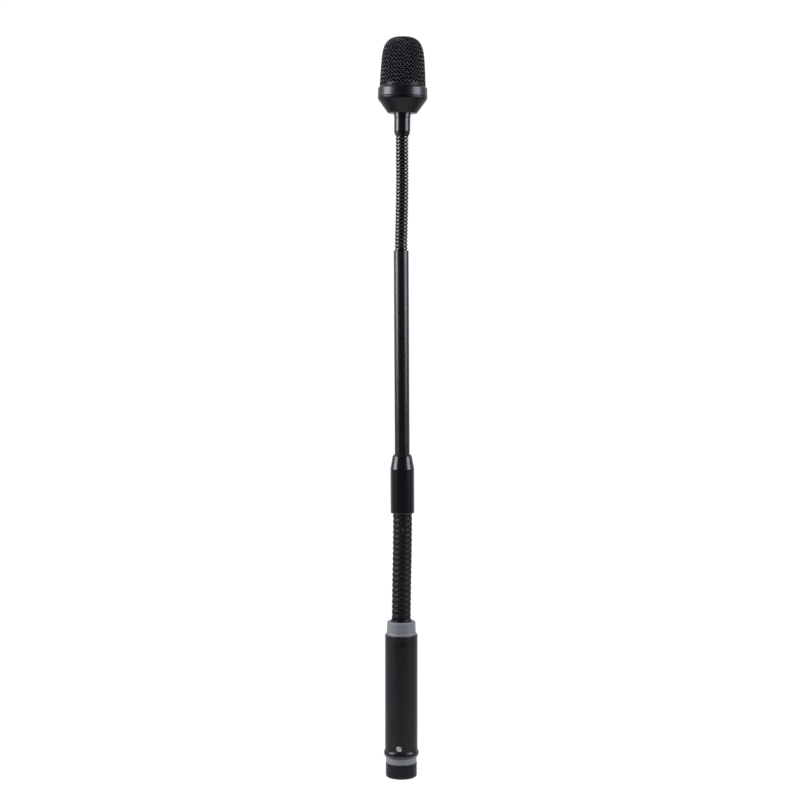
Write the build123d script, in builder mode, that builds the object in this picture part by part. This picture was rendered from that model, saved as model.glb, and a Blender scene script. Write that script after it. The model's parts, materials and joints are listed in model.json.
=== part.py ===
from build123d import *
import os
from math import cos, radians, sin, tan

os.makedirs("parts", exist_ok=True)

# Gooseneck podium microphone with a three-contact plug-in base, millimetres and degrees.
# The origin is on the centre line at the shoulder of the connector nose, and +Z runs up to the head.
# Heights are counted up the centre line from there, through both necks.

# ---------------------------------------------------------------- driving dimensions
# connector nose, its shell and its contacts
nose_radius = 9.5
nose_length = 8.8
nose_edge = 1.2
cavity_radius = 8.1
cavity_depth = 14.5
shell_neck_radius = 8.5
shell_top = 22.7
key_width = 2.0
key_height = 0.9
contact_radius = 1.2
contact_circle = 4.05
contact_setback = 1.2
insert_length = 14.0

# rings, barrel and what closes its top
lower_ring_height = 3.8
lower_ring_radius = 9.3
lower_ring_lip_radius = 9.55
bead_top = 8.1
bead_radius = 10.65
barrel_radius = 9.86
barrel_bore = 8.6
barrel_top = 79.0
barrel_lip_bore = 8.05
barrel_lip_height = 1.7
ring_line_heights = (72.8, 74.0, 75.2)
ring_line_depth = 0.2
collar_foot_radius = 9.3
collar_radius = 8.78
collar_shoulder_radius = 8.6
collar_top_radius = 7.9
collar_top = 87.0
anchor_radius = 6.35
anchor_top = 88.1
anchor_bottom = 60.2

# retaining screw, in the front of the barrel and a little to the left
screw_height = 10.4
screw_side_angle = 8.4
screw_shank_radius = 1.0
screw_head_radius = 1.65
screw_recess_radius = 1.85
screw_seat_radius = 9.0
screw_face_radius = 9.7
screw_tip_radius = 5.4

# preamplifier
board_bottom = 25.7
board_top = 55.7
board_width = 16.4
board_thickness = 1.2
carrier_bore = 7.5
carrier_radius = 8.45

# lower flexible neck, coupling, stem and upper flexible neck
lower_neck_radius = 5.8
lower_neck_bore = 2.9
lower_neck_top_height = 153.2
lower_joint_count = 6
lower_joint_bend = 20.0
lower_rest_bends = (0.8, 0.0, 0.5, -0.6, -0.3, -0.7)
coupling_radius = 7.2
coupling_cone_radius = 5.8
coupling_cone_bottom = 180.2
coupling_cone_top = 187.8
coupling_top = 189.0
coupling_shelf_bottom = 167.1
coupling_shelf_top = 172.1
stem_radius = 4.49
stem_bore = 3.9
stem_top = 311.5
upper_neck_radius = 3.84
upper_neck_bore = 2.1
upper_neck_top_height = 379.9
upper_joint_count = 8
upper_joint_bend = 22.5
upper_rest_bends = (1.55, 0.0, 0.0, -0.57, -0.69, -0.5, 0.1, 1.1)
joint_gap = 0.15
bevel_margin = 1.2
lead_radius = 1.5
lead_bottom = 59.7
lead_top = 402.7

# head
ferrule_radius = 4.83
ferrule_tip_radius = 4.3
ferrule_bottom = 380.0
ferrule_flange_radius = 5.2
spigot_radius = 4.4
spigot_top = 400.0
cup_bottom = 393.1
cup_foot_radius = 8.65
cup_cone_radius = 14.08
cup_cone_top = 400.6
head_radius = 14.72
cup_top = 403.0
cup_wall_bore = 12.2
cup_thread_radius = 13.3
cup_thread_top = 406.1
rim_top = 408.7
rim_lip_radius = 13.98
rim_land_top = 411.9
rim_land_radius = 12.75
rim_land_bore = 12.2
dome_foot = 406.8
dome_foot_radius = 13.86
dome_spring = 410.7
dome_apex = 438.4
dome_side_radius = 13.76
dome_taper = 0.055
mesh_thickness = 0.88
foam_thickness = 2.2
capsule_radius = 8.0
capsule_wall = 0.5
capsule_bottom = 411.7
capsule_top = 425.7

# clearances
slip = 0.05
hair = 0.02


# ---------------------------------------------------------------- helpers
def bent(frame, height, bend):
    """The frame above a joint, leaned towards +X there. Its heights are still counted from the origin."""
    turned = frame.rotated((0, bend, 0))
    pivot = frame.from_local_coords((0, 0, height))
    return Plane(origin=pivot - turned.z_dir * height, x_dir=turned.x_dir, z_dir=turned.z_dir)


def section(frame):
    """The plane for a turned profile: x is the radius and y the height up the frame's centre line."""
    return Plane(origin=frame.origin, x_dir=frame.x_dir, z_dir=-frame.y_dir)


def centre(frame):
    """The frame's centre line, as an axis to revolve about."""
    return Axis(frame.origin, frame.z_dir)


def joint_heights(bottom, top, count):
    """Joints spread evenly over a neck, with half a space left at each end."""
    space = (top - bottom) / count
    return [bottom + (number + 0.5) * space for number in range(count)]


def neck_link(frame, bottom, top, radius, bore, bottom_slope=0.0, top_slope=0.0):
    """One tubular link of a neck. A sloped end falls away as a cone, so that it clears the next link."""
    low = bottom + (joint_gap if bottom_slope else 0)
    high = top - (joint_gap if top_slope else 0)
    with BuildPart() as link:
        with BuildSketch(section(frame)):
            with BuildLine():
                Polyline(
                    (bore, low + bore * bottom_slope),
                    (radius, low + radius * bottom_slope),
                    (radius, high - radius * top_slope),
                    (bore, high - bore * top_slope),
                    close=True,
                )
            make_face()
        revolve(axis=centre(frame))
    return link


def dome_outline(inset, steps=10):
    """Points up a tapering superellipse dome, from its spring line to its apex, moved inwards by inset."""
    side_power = 6.0
    crown_power = 2.9
    points = []
    for step in range(steps + 1):
        turn = radians(90 * step / steps)
        rise = (dome_apex - dome_spring - inset) * sin(turn) ** (2 / side_power)
        reach = dome_side_radius - inset - dome_taper * rise
        points.append((reach * abs(cos(turn)) ** (2 / crown_power), dome_spring + rise))
    points[-1] = (0, dome_apex - inset)
    return points


def dome_shell(frame, foot, outer_inset, inner_inset, outer_foot, inner_foot):
    """A closed dome shell that stands on a flat ring at the height foot."""
    outer = [point for point in dome_outline(outer_inset) if point[1] > foot]
    inner = [point for point in dome_outline(inner_inset) if point[1] > foot]
    side = (-dome_taper, 1)
    with BuildPart() as shell:
        with BuildSketch(section(frame)):
            with BuildLine():
                Line((outer_foot, foot), outer[0])
                Spline(*outer, tangents=[side, (-1, 0)])
                Line(outer[-1], inner[-1])
                Spline(*inner, tangents=[side, (-1, 0)])
                Line(inner[0], (inner_foot, foot))
                Line((inner_foot, foot), (outer_foot, foot))
            make_face()
        revolve(axis=centre(frame))
    return shell


# ---------------------------------------------------------------- centre line and joints
lower_joints = joint_heights(anchor_top, lower_neck_top_height, lower_joint_count)
upper_joints = joint_heights(stem_top, upper_neck_top_height, upper_joint_count)
lower_slope = tan(radians(lower_joint_bend / 2 + bevel_margin))
upper_slope = tan(radians(upper_joint_bend / 2 + bevel_margin))

frames = [Plane.XY]
for height, lean in zip(lower_joints + upper_joints, lower_rest_bends + upper_rest_bends):
    frames.append(bent(frames[-1], height, lean))
base = frames[0]
stem = frames[lower_joint_count]
head = frames[-1]

screw_turn = radians(screw_side_angle)
screw_plane = Plane(
    origin=(0, 0, screw_height), x_dir=(0, 0, 1), z_dir=(-sin(screw_turn), -cos(screw_turn), 0)
)


# ---------------------------------------------------------------- connector
# Turned shell: the nose that goes into the socket, and a thin neck that runs up inside the barrel.
with BuildPart() as xlr_shell:
    with BuildSketch(section(base)):
        with BuildLine():
            Polyline(
                (cavity_radius, -nose_length),
                (nose_radius, -nose_length),
                (nose_radius, 0),
                (shell_neck_radius, 0),
                (shell_neck_radius, shell_top),
                (cavity_radius, shell_top),
                close=True,
            )
        make_face()
    revolve(axis=Axis.Z)
    nose_mouth = xlr_shell.edges().filter_by(GeomType.CIRCLE).group_by(Axis.Z)[0]
    fillet(nose_mouth.sort_by(SortBy.RADIUS)[-1], nose_edge)
    with BuildSketch(Plane.XY.offset(1 - nose_length)):
        with Locations((0, key_height / 2 - cavity_radius - 0.15)):
            Rectangle(key_width, key_height + 0.3)
    extrude(amount=cavity_depth - 1.2)
    with BuildSketch(screw_plane):
        Circle(screw_shank_radius + 0.1)
    extrude(amount=nose_radius, mode=Mode.SUBTRACT)
xlr_shell.part.label = "xlr_shell"
export_step(xlr_shell.part, "parts/xlr_shell.step")

# Moulded disc that holds the contacts, with the screw's threaded hole in its side.
insert_bottom = cavity_depth - nose_length
with BuildPart() as xlr_insert:
    with BuildSketch(Plane.XY.offset(insert_bottom)):
        Circle(cavity_radius - slip)
        with PolarLocations(contact_circle, 3, angular_range=180, endpoint=True):
            Circle(contact_radius + hair, mode=Mode.SUBTRACT)
    extrude(amount=insert_length)
    rear_edge = xlr_insert.edges().filter_by(GeomType.CIRCLE).group_by(Axis.Z)[-1]
    chamfer(rear_edge.sort_by(SortBy.RADIUS)[-1], 0.6)
    with BuildSketch(screw_plane.offset(screw_tip_radius)):
        Circle(screw_shank_radius + hair)
    extrude(amount=cavity_radius, mode=Mode.SUBTRACT)
xlr_insert.part.label = "xlr_insert"
export_step(xlr_insert.part, "parts/xlr_insert.step")

# Three solid contacts with rounded tips, two at the sides and one at the back.
contact_bottom = contact_setback - nose_length
contact_top = insert_bottom + insert_length + 1.8
with BuildPart() as xlr_pins:
    with BuildSketch(Plane.XY.offset(contact_bottom)):
        with PolarLocations(contact_circle, 3, angular_range=180, endpoint=True):
            Circle(contact_radius)
    extrude(amount=contact_top - contact_bottom)
    fillet(xlr_pins.edges().filter_by(GeomType.CIRCLE).group_by(Axis.Z)[0], 0.8)
    chamfer(xlr_pins.edges().filter_by(GeomType.CIRCLE).group_by(Axis.Z)[-1], 0.25)
xlr_pins.part.label = "xlr_pins"
export_step(xlr_pins.part, "parts/xlr_pins.step")

# Slotted screw that goes through the barrel and the shell into the insert.
with BuildPart() as insert_screw:
    with BuildSketch(screw_plane.offset(screw_tip_radius)):
        Circle(screw_shank_radius)
    extrude(amount=screw_seat_radius - screw_tip_radius)
    with BuildSketch(screw_plane.offset(screw_seat_radius)):
        Circle(screw_head_radius)
    extrude(amount=screw_face_radius - screw_seat_radius)
    face_edge = insert_screw.edges().filter_by(GeomType.CIRCLE).sort_by(Axis.Y)[0]
    fillet(face_edge, 0.15)
    with BuildSketch(screw_plane.offset(screw_face_radius - 0.3)):
        Rectangle(0.45, 4 * screw_head_radius, rotation=35)
    extrude(amount=1, mode=Mode.SUBTRACT)
insert_screw.part.label = "insert_screw"
export_step(insert_screw.part, "parts/insert_screw.step")

# Soft grey ring between the nose and the bead, slightly flared at its top.
with BuildPart() as bottom_isolator:
    with BuildSketch(section(base)):
        with BuildLine():
            Polyline(
                (shell_neck_radius + hair, 0),
                (lower_ring_radius - 0.07, 0),
                (lower_ring_radius, 0.4),
                (lower_ring_radius + 0.06, lower_ring_height - 1.2),
                (lower_ring_lip_radius, lower_ring_height - 0.5),
                (lower_ring_lip_radius, lower_ring_height),
                (shell_neck_radius + hair, lower_ring_height),
                close=True,
            )
        make_face()
    revolve(axis=Axis.Z)
bottom_isolator.part.label = "bottom_isolator"
export_step(bottom_isolator.part, "parts/bottom_isolator.step")

# Glossy rubber bead with a round outer face.
with BuildPart() as o_ring:
    with BuildSketch(section(base)):
        with BuildLine():
            bead_foot = (lower_ring_lip_radius + 0.1, lower_ring_height)
            bead_shoulder = (barrel_radius, bead_top)
            bead_crest = (bead_radius, (lower_ring_height + bead_top) / 2)
            ThreePointArc(bead_foot, bead_crest, bead_shoulder)
            Polyline(
                bead_shoulder,
                (shell_neck_radius + hair, bead_top),
                (shell_neck_radius + hair, lower_ring_height),
                bead_foot,
            )
        make_face()
    revolve(axis=Axis.Z)
o_ring.part.label = "o_ring"
export_step(o_ring.part, "parts/o_ring.step")


# ---------------------------------------------------------------- barrel
# Long tube with an inner lip at its top, fine turned lines near the top and the screw's recess.
with BuildPart() as barrel:
    with BuildSketch(section(base)):
        with BuildLine():
            Polyline(
                (barrel_bore, bead_top),
                (barrel_radius, bead_top),
                (barrel_radius, barrel_top),
                (barrel_lip_bore, barrel_top),
                (barrel_lip_bore, barrel_top - barrel_lip_height),
                (barrel_bore, barrel_top - barrel_lip_height),
                close=True,
            )
        make_face()
    revolve(axis=Axis.Z)
    rims = barrel.edges().filter_by(GeomType.CIRCLE).group_by(Axis.Z)
    fillet([rims[0].sort_by(SortBy.RADIUS)[-1], rims[-1].sort_by(SortBy.RADIUS)[-1]], 0.3)
    with BuildSketch(section(base)):
        with Locations(*[(barrel_radius, line_height) for line_height in ring_line_heights]):
            Rectangle(2 * ring_line_depth, 0.3)
    revolve(axis=Axis.Z, mode=Mode.SUBTRACT)
    with BuildSketch(screw_plane):
        Circle(screw_shank_radius + 0.1)
    extrude(amount=2 * barrel_radius, mode=Mode.SUBTRACT)
    with BuildSketch(screw_plane.offset(screw_seat_radius)):
        Circle(screw_recess_radius)
    extrude(amount=barrel_radius, mode=Mode.SUBTRACT)
barrel.part.label = "barrel"
export_step(barrel.part, "parts/barrel.step")

# Soft grey collar: a tapered ring that shows above the barrel, on a spigot that fills its mouth.
lip_bottom = barrel_top - barrel_lip_height
anchor_bead_bottom = 83.8
anchor_bead_top = 85.0
anchor_bead_radius = 7.2
collar_spigot_bottom = 64.7
with BuildPart() as top_isolator:
    with BuildSketch(section(base)):
        with BuildLine():
            Polyline(
                (anchor_radius + hair, collar_spigot_bottom),
                (barrel_bore - 0.1, collar_spigot_bottom),
                (barrel_bore - 0.1, lip_bottom - slip),
                (barrel_lip_bore - slip, lip_bottom - slip),
                (barrel_lip_bore - slip, barrel_top),
                (collar_foot_radius, barrel_top),
                (collar_foot_radius, barrel_top + 0.4),
                (collar_radius, barrel_top + 1.5),
                (collar_shoulder_radius, collar_top - 0.9),
            )
            collar_edge = (collar_top_radius + 0.4, collar_top - 0.2)
            collar_crown = (collar_top_radius, collar_top)
            ThreePointArc((collar_shoulder_radius, collar_top - 0.9), collar_edge, collar_crown)
            Polyline(
                collar_crown,
                (anchor_radius + hair, collar_top),
                (anchor_radius + hair, anchor_bead_top + slip),
                (anchor_bead_radius + slip, anchor_bead_top + slip),
                (anchor_bead_radius + slip, anchor_bead_bottom - slip),
                (anchor_radius + hair, anchor_bead_bottom - slip),
                (anchor_radius + hair, collar_spigot_bottom),
            )
        make_face()
    revolve(axis=Axis.Z)
top_isolator.part.label = "top_isolator"
export_step(top_isolator.part, "parts/top_isolator.step")

# Metal sleeve that the lower neck is pressed into; its top rim shows above the collar.
with BuildPart() as neck_anchor:
    with BuildSketch(section(base)):
        with BuildLine():
            Polyline(
                (lower_neck_radius - 1.7, anchor_bottom),
                (anchor_radius, anchor_bottom),
                (anchor_radius, anchor_bead_bottom),
                (anchor_bead_radius, anchor_bead_bottom),
                (anchor_bead_radius, anchor_bead_top),
                (anchor_radius, anchor_bead_top),
                (anchor_radius, anchor_top),
                (lower_neck_radius + slip, anchor_top),
                (lower_neck_radius + slip, anchor_bottom + 1),
                (lower_neck_radius - 1.7, anchor_bottom + 1),
                close=True,
            )
        make_face()
    revolve(axis=Axis.Z)
    anchor_rim = neck_anchor.edges().filter_by(GeomType.CIRCLE).group_by(Axis.Z)[-1]
    fillet(anchor_rim.sort_by(SortBy.RADIUS)[-1], 0.2)
neck_anchor.part.label = "neck_anchor"
export_step(neck_anchor.part, "parts/neck_anchor.step")

# Hexagonal nut that clamps the collar's spigot from below.
with BuildPart() as anchor_nut:
    with BuildSketch(Plane.XY.offset(anchor_bottom + 0.7)):
        RegularPolygon(barrel_bore - 0.3, 6)
        Circle(anchor_radius + hair, mode=Mode.SUBTRACT)
    extrude(amount=collar_spigot_bottom - slip - anchor_bottom - 0.7)
    chamfer(anchor_nut.edges().filter_by(GeomType.LINE).group_by(Axis.Z)[0], 0.3)
anchor_nut.part.label = "anchor_nut"
export_step(anchor_nut.part, "parts/anchor_nut.step")


# ---------------------------------------------------------------- preamplifier
# Half-round plastic trough with an end wall, which carries the board on its two edges.
with BuildPart() as board_carrier:
    with BuildSketch(Plane.XY.offset(board_bottom - 0.5)):
        Circle(carrier_radius)
        Circle(carrier_bore, mode=Mode.SUBTRACT)
        with Locations((0, -barrel_radius)):
            Rectangle(2 * barrel_radius, 2 * barrel_radius, mode=Mode.SUBTRACT)
    extrude(amount=board_top - board_bottom + 2)
    with BuildSketch(Plane.XY.offset(board_top + 0.3)):
        Circle(carrier_radius)
        Circle(lead_radius + 0.2, mode=Mode.SUBTRACT)
        with Locations((0, -barrel_radius)):
            Rectangle(2 * barrel_radius, 2 * barrel_radius, mode=Mode.SUBTRACT)
    extrude(amount=1.2)
board_carrier.part.label = "board_carrier"
export_step(board_carrier.part, "parts/board_carrier.step")

# Circuit board, standing in the barrel with its parts towards the front.
with BuildPart() as preamp_board:
    with BuildSketch(Plane.XZ):
        with Locations((0, (board_bottom + board_top) / 2)):
            Rectangle(board_width, board_top - board_bottom)
        with Locations((-6.6, board_bottom + 1.5), (6.6, board_bottom + 1.5)):
            Circle(0.5, mode=Mode.SUBTRACT)
    extrude(amount=board_thickness)
preamp_board.part.label = "preamp_board"
export_step(preamp_board.part, "parts/preamp_board.step")

# Two can capacitors lying along the board, and a block capacitor below them.
can_radius = 2.4
with BuildPart() as board_capacitors:
    with BuildSketch(Plane.XY.offset(board_top - 14.5)):
        with Locations((-3.2, -board_thickness - can_radius), (3.2, -board_thickness - can_radius)):
            Circle(can_radius)
    extrude(amount=8.5)
    fillet(board_capacitors.edges().filter_by(GeomType.CIRCLE), 0.4)
    with BuildSketch(Plane.XZ.offset(board_thickness)):
        with Locations((0, board_top - 18.5)):
            Rectangle(7.2, 4.2)
    extrude(amount=2.8)
board_capacitors.part.label = "board_capacitors"
export_step(board_capacitors.part, "parts/board_capacitors.step")

# Three small chips near the connector end.
with BuildPart() as board_chips:
    with BuildSketch(Plane.XZ.offset(board_thickness)):
        with Locations((-4, board_bottom + 6.5), (4, board_bottom + 6.5)):
            Rectangle(3.9, 4.9)
        with Locations((0, board_bottom + 6.5)):
            Rectangle(1.4, 3.0)
    extrude(amount=1.5)
board_chips.part.label = "board_chips"
export_step(board_chips.part, "parts/board_chips.step")

# Insulated wires from the three contacts to the lower end of the board.
wire_radius = 0.5
wire_depth = -board_thickness - wire_radius - slip
with BuildPart() as xlr_wires:
    for side, back in ((-contact_circle, 0), (0, contact_circle), (contact_circle, 0)):
        with BuildLine() as wire_path:
            FilletPolyline(
                (side, back, contact_top),
                (side, back, contact_top + 1.3),
                (side, wire_depth, contact_top + 3.0),
                (side, wire_depth, board_bottom + 3.6),
                radius=0.7,
            )
        with BuildSketch(Plane(origin=(side, back, contact_top), z_dir=(0, 0, 1))):
            Circle(wire_radius)
        sweep(path=wire_path.line)
xlr_wires.part.label = "xlr_wires"
export_step(xlr_wires.part, "parts/xlr_wires.step")

# Two cores from the lower end of the signal lead to the top of the board.
core_radius = 0.45
with BuildPart() as lead_cores:
    for side in (-0.8, 0.8):
        with BuildLine() as core_path:
            FilletPolyline(
                (side, -0.6, lead_bottom),
                (side, -0.6, lead_bottom - 1.2),
                (side, wire_depth, lead_bottom - 2.8),
                (side, wire_depth, board_top - 2.5),
                radius=0.7,
            )
        with BuildSketch(Plane(origin=(side, -0.6, lead_bottom), z_dir=(0, 0, -1))):
            Circle(core_radius)
        sweep(path=core_path.line)
lead_cores.part.label = "lead_cores"
export_step(lead_cores.part, "parts/lead_cores.step")

# The screened lead: one flexible piece up the whole centre line, from the barrel to the head.
lead_bends = [
    frame.from_local_coords((0, 0, height))
    for frame, height, lean in zip(
        frames, lower_joints + upper_joints, lower_rest_bends + upper_rest_bends
    )
    if lean
]
with BuildPart() as signal_lead:
    with BuildLine() as lead_path:
        Polyline((0, 0, lead_bottom), *lead_bends, head.from_local_coords((0, 0, lead_top)))
    with BuildSketch(Plane.XY.offset(lead_bottom)):
        Circle(lead_radius)
    sweep(path=lead_path.line, transition=Transition.RIGHT)
signal_lead.part.label = "signal_lead"
export_step(signal_lead.part, "parts/signal_lead.step")


# ---------------------------------------------------------------- lower neck
lower_neck_foot = neck_link(
    base, anchor_bottom + 1.1, lower_joints[0], lower_neck_radius, lower_neck_bore, 0, lower_slope
)
lower_neck_foot.part.label = "lower_neck_foot"
export_step(lower_neck_foot.part, "parts/lower_neck_foot.step")

for number in range(1, lower_joint_count):
    lower_link = neck_link(
        frames[number],
        lower_joints[number - 1],
        lower_joints[number],
        lower_neck_radius,
        lower_neck_bore,
        lower_slope,
        lower_slope,
    )
    lower_link.part.label = f"lower_neck_link_{number}"
    export_step(lower_link.part, f"parts/lower_neck_link_{number}.step")

lower_neck_top = neck_link(
    stem,
    lower_joints[-1],
    coupling_shelf_bottom - 0.1,
    lower_neck_radius,
    lower_neck_bore,
    lower_slope,
)
lower_neck_top.part.label = "lower_neck_top"
export_step(lower_neck_top.part, "parts/lower_neck_top.step")


# ---------------------------------------------------------------- coupling and stem
# Turned sleeve that joins the thick lower neck to the thin stem.
with BuildPart() as coupling_sleeve:
    with BuildSketch(section(stem)):
        with BuildLine():
            Polyline(
                (lower_neck_radius + slip, lower_neck_top_height),
                (coupling_radius - 0.6, lower_neck_top_height),
            )
            RadiusArc(
                (coupling_radius - 0.6, lower_neck_top_height),
                (coupling_radius, lower_neck_top_height + 0.6),
                -0.6,
            )
            Polyline(
                (coupling_radius, lower_neck_top_height + 0.6),
                (coupling_radius, coupling_cone_bottom),
                (coupling_cone_radius, coupling_cone_top),
                (stem_radius + 0.26, coupling_top),
                (stem_radius + hair, coupling_top),
                (stem_radius + hair, coupling_shelf_top),
                (lower_neck_bore, coupling_shelf_top),
                (lower_neck_bore, coupling_shelf_bottom),
                (lower_neck_radius + slip, coupling_shelf_bottom),
                (lower_neck_radius + slip, lower_neck_top_height),
            )
        make_face()
    revolve(axis=centre(stem))
coupling_sleeve.part.label = "coupling_sleeve"
export_step(coupling_sleeve.part, "parts/coupling_sleeve.step")

# Rigid straight tube.
with BuildPart() as stem_tube:
    with BuildSketch(stem.offset(coupling_shelf_top + 0.1)):
        Circle(stem_radius)
        Circle(stem_bore, mode=Mode.SUBTRACT)
    extrude(amount=stem_top - coupling_shelf_top - 0.1)
stem_tube.part.label = "stem_tube"
export_step(stem_tube.part, "parts/stem_tube.step")

# Bush in the stem that the end of the upper neck stands on.
bush_top = 298.6
with BuildPart() as stem_bush:
    with BuildSketch(stem.offset(bush_top - 7)):
        Circle(stem_bore - hair)
        Circle(upper_neck_bore + 0.1, mode=Mode.SUBTRACT)
    extrude(amount=7)
    chamfer(stem_bush.edges().filter_by(GeomType.CIRCLE), 0.3)
stem_bush.part.label = "stem_bush"
export_step(stem_bush.part, "parts/stem_bush.step")


# ---------------------------------------------------------------- upper neck
upper_neck_foot = neck_link(
    stem, bush_top + 0.1, upper_joints[0], upper_neck_radius, upper_neck_bore, 0, upper_slope
)
upper_neck_foot.part.label = "upper_neck_foot"
export_step(upper_neck_foot.part, "parts/upper_neck_foot.step")

for number in range(1, upper_joint_count):
    upper_link = neck_link(
        frames[lower_joint_count + number],
        upper_joints[number - 1],
        upper_joints[number],
        upper_neck_radius,
        upper_neck_bore,
        upper_slope,
        upper_slope,
    )
    upper_link.part.label = f"upper_neck_link_{number}"
    export_step(upper_link.part, f"parts/upper_neck_link_{number}.step")

neck_socket_top = 388.2
upper_neck_top = neck_link(
    head,
    upper_joints[-1],
    neck_socket_top - 0.1,
    upper_neck_radius,
    upper_neck_bore,
    upper_slope,
)
upper_neck_top.part.label = "upper_neck_top"
export_step(upper_neck_top.part, "parts/upper_neck_top.step")


# ---------------------------------------------------------------- head shell
# Turned ferrule: a tapered tip, a plain body, a fine groove and a flange, then a threaded spigot.
groove_height = 390.3
with BuildPart() as head_ferrule:
    with BuildSketch(section(head)):
        with BuildLine():
            Polyline(
                (upper_neck_radius + 0.03, ferrule_bottom),
                (ferrule_tip_radius, ferrule_bottom),
                (ferrule_radius, ferrule_bottom + 2.5),
                (ferrule_radius, groove_height - 0.15),
                (ferrule_radius - 0.2, groove_height),
                (ferrule_radius + 0.05, groove_height + 0.15),
                (ferrule_flange_radius, cup_bottom),
                (spigot_radius, cup_bottom),
                (spigot_radius, spigot_top),
                (upper_neck_bore, spigot_top),
                (upper_neck_bore, neck_socket_top),
                (upper_neck_radius + 0.03, neck_socket_top),
                close=True,
            )
        make_face()
    revolve(axis=centre(head))
head_ferrule.part.label = "head_ferrule"
export_step(head_ferrule.part, "parts/head_ferrule.step")

# Flared cup below the grille, with a threaded neck for the rim.
cup_floor = cup_bottom + 2
with BuildPart() as head_cup:
    with BuildSketch(section(head)) as cup_profile:
        with BuildLine():
            cup_bend = (head_radius - 0.12, cup_cone_top + 0.9)
            Polyline(
                (spigot_radius + hair, cup_bottom),
                (cup_foot_radius, cup_bottom),
                (cup_cone_radius, cup_cone_top),
            )
            ThreePointArc((cup_cone_radius, cup_cone_top), cup_bend, (head_radius, cup_cone_top + 1.6))
            Polyline(
                (head_radius, cup_cone_top + 1.6),
                (head_radius, cup_top - 0.2),
                (head_radius - 0.2, cup_top),
                (cup_thread_radius, cup_top),
                (cup_thread_radius, cup_thread_top),
                (cup_wall_bore, cup_thread_top),
                (cup_wall_bore, cup_cone_top + 0.6),
                (cup_foot_radius - 0.45, cup_floor),
                (spigot_radius + hair, cup_floor),
                (spigot_radius + hair, cup_bottom),
            )
        make_face()
        foot_corner = cup_profile.vertices().group_by(Axis.Y)[0].sort_by(Axis.X)[-1]
        fillet(foot_corner, 0.6)
    revolve(axis=centre(head))
head_cup.part.label = "head_cup"
export_step(head_cup.part, "parts/head_cup.step")

# Hexagonal nut on the ferrule's spigot, inside the cup.
with BuildPart() as ferrule_nut:
    with BuildSketch(head.offset(cup_floor + 0.1)):
        RegularPolygon(7.0, 6)
        Circle(spigot_radius + hair, mode=Mode.SUBTRACT)
    extrude(amount=3.6)
ferrule_nut.part.label = "ferrule_nut"
export_step(ferrule_nut.part, "parts/ferrule_nut.step")

# Polished rim: it screws onto the cup, grips the foot of the grille and has a land inside it.
with BuildPart() as grille_rim:
    with BuildSketch(section(head)):
        with BuildLine():
            Polyline(
                (cup_thread_radius + slip, cup_top),
                (head_radius - 0.2, cup_top),
                (head_radius, cup_top + 0.2),
                (head_radius, rim_top - 1.1),
                (rim_lip_radius, rim_top),
                (dome_foot_radius + 0.04, rim_top),
                (dome_foot_radius + 0.04, dome_foot - 0.1),
                (rim_land_radius, dome_foot - 0.1),
                (rim_land_radius, rim_land_top),
                (rim_land_bore, rim_land_top),
                (rim_land_bore, cup_thread_top + 0.1),
                (cup_thread_radius + slip, cup_thread_top + 0.1),
                close=True,
            )
        make_face()
    revolve(axis=centre(head))
grille_rim.part.label = "grille_rim"
export_step(grille_rim.part, "parts/grille_rim.step")

# Woven grille, as a plain dome shell of the same outline and thickness.
grille_mesh = dome_shell(
    head, dome_foot, 0, mesh_thickness, dome_foot_radius, dome_foot_radius - mesh_thickness
)
grille_mesh.part.label = "grille_mesh"
export_step(grille_mesh.part, "parts/grille_mesh.step")

# Foam lining inside the grille, standing on the rim's land.
foam_outer = mesh_thickness + slip
foam_foot = rim_land_top + slip
foam_foot_radius = dome_side_radius - foam_outer
foam_liner = dome_shell(
    head,
    foam_foot,
    foam_outer,
    foam_outer + foam_thickness,
    foam_foot_radius,
    foam_foot_radius - foam_thickness,
)
foam_liner.part.label = "foam_liner"
export_step(foam_liner.part, "parts/foam_liner.step")


# ---------------------------------------------------------------- capsule
inner_radius = capsule_radius - capsule_wall
cell_radius = inner_radius - slip

# Rubber cradle: a ring in the cup, a thin cone and a ring round the capsule.
with BuildPart() as shock_mount:
    with BuildSketch(section(head)):
        with BuildLine():
            Polyline(
                (cup_wall_bore - slip, cup_cone_top + 1),
                (cup_wall_bore - slip, cup_thread_top - 0.1),
                (capsule_radius + 1.4, capsule_bottom - 1.8),
                (capsule_radius + 1.4, capsule_bottom + 3),
                (capsule_radius + hair, capsule_bottom + 3),
                (capsule_radius + hair, capsule_bottom - 3.4),
                (cup_wall_bore - 1.4, cup_cone_top + 4.2),
                (cup_wall_bore - 1.4, cup_cone_top + 1),
                close=True,
            )
        make_face()
    revolve(axis=centre(head))
shock_mount.part.label = "shock_mount"
export_step(shock_mount.part, "parts/shock_mount.step")

# Drawn metal can, rolled in a little at both ends.
with BuildPart() as capsule_can:
    with BuildSketch(section(head)):
        with BuildLine():
            Polyline(
                (inner_radius - 0.6, capsule_bottom),
                (capsule_radius, capsule_bottom),
                (capsule_radius, capsule_top),
                (inner_radius - 0.9, capsule_top),
                (inner_radius - 0.9, capsule_top - capsule_wall),
                (inner_radius, capsule_top - capsule_wall),
                (inner_radius, capsule_bottom + 0.25),
                (inner_radius - 0.6, capsule_bottom + 0.25),
                close=True,
            )
        make_face()
    revolve(axis=centre(head))
capsule_can.part.label = "capsule_can"
export_step(capsule_can.part, "parts/capsule_can.step")

# Perforated front plate with two rings of holes.
front_bottom = capsule_top - 1.2
with BuildPart() as capsule_front:
    with BuildSketch(head.offset(front_bottom)):
        Circle(cell_radius)
        Circle(0.6, mode=Mode.SUBTRACT)
        for ring_radius, hole_count in ((2.4, 6), (4.8, 12)):
            with PolarLocations(ring_radius, hole_count):
                Circle(0.6, mode=Mode.SUBTRACT)
    extrude(amount=0.6)
capsule_front.part.label = "capsule_front"
export_step(capsule_front.part, "parts/capsule_front.step")

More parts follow.
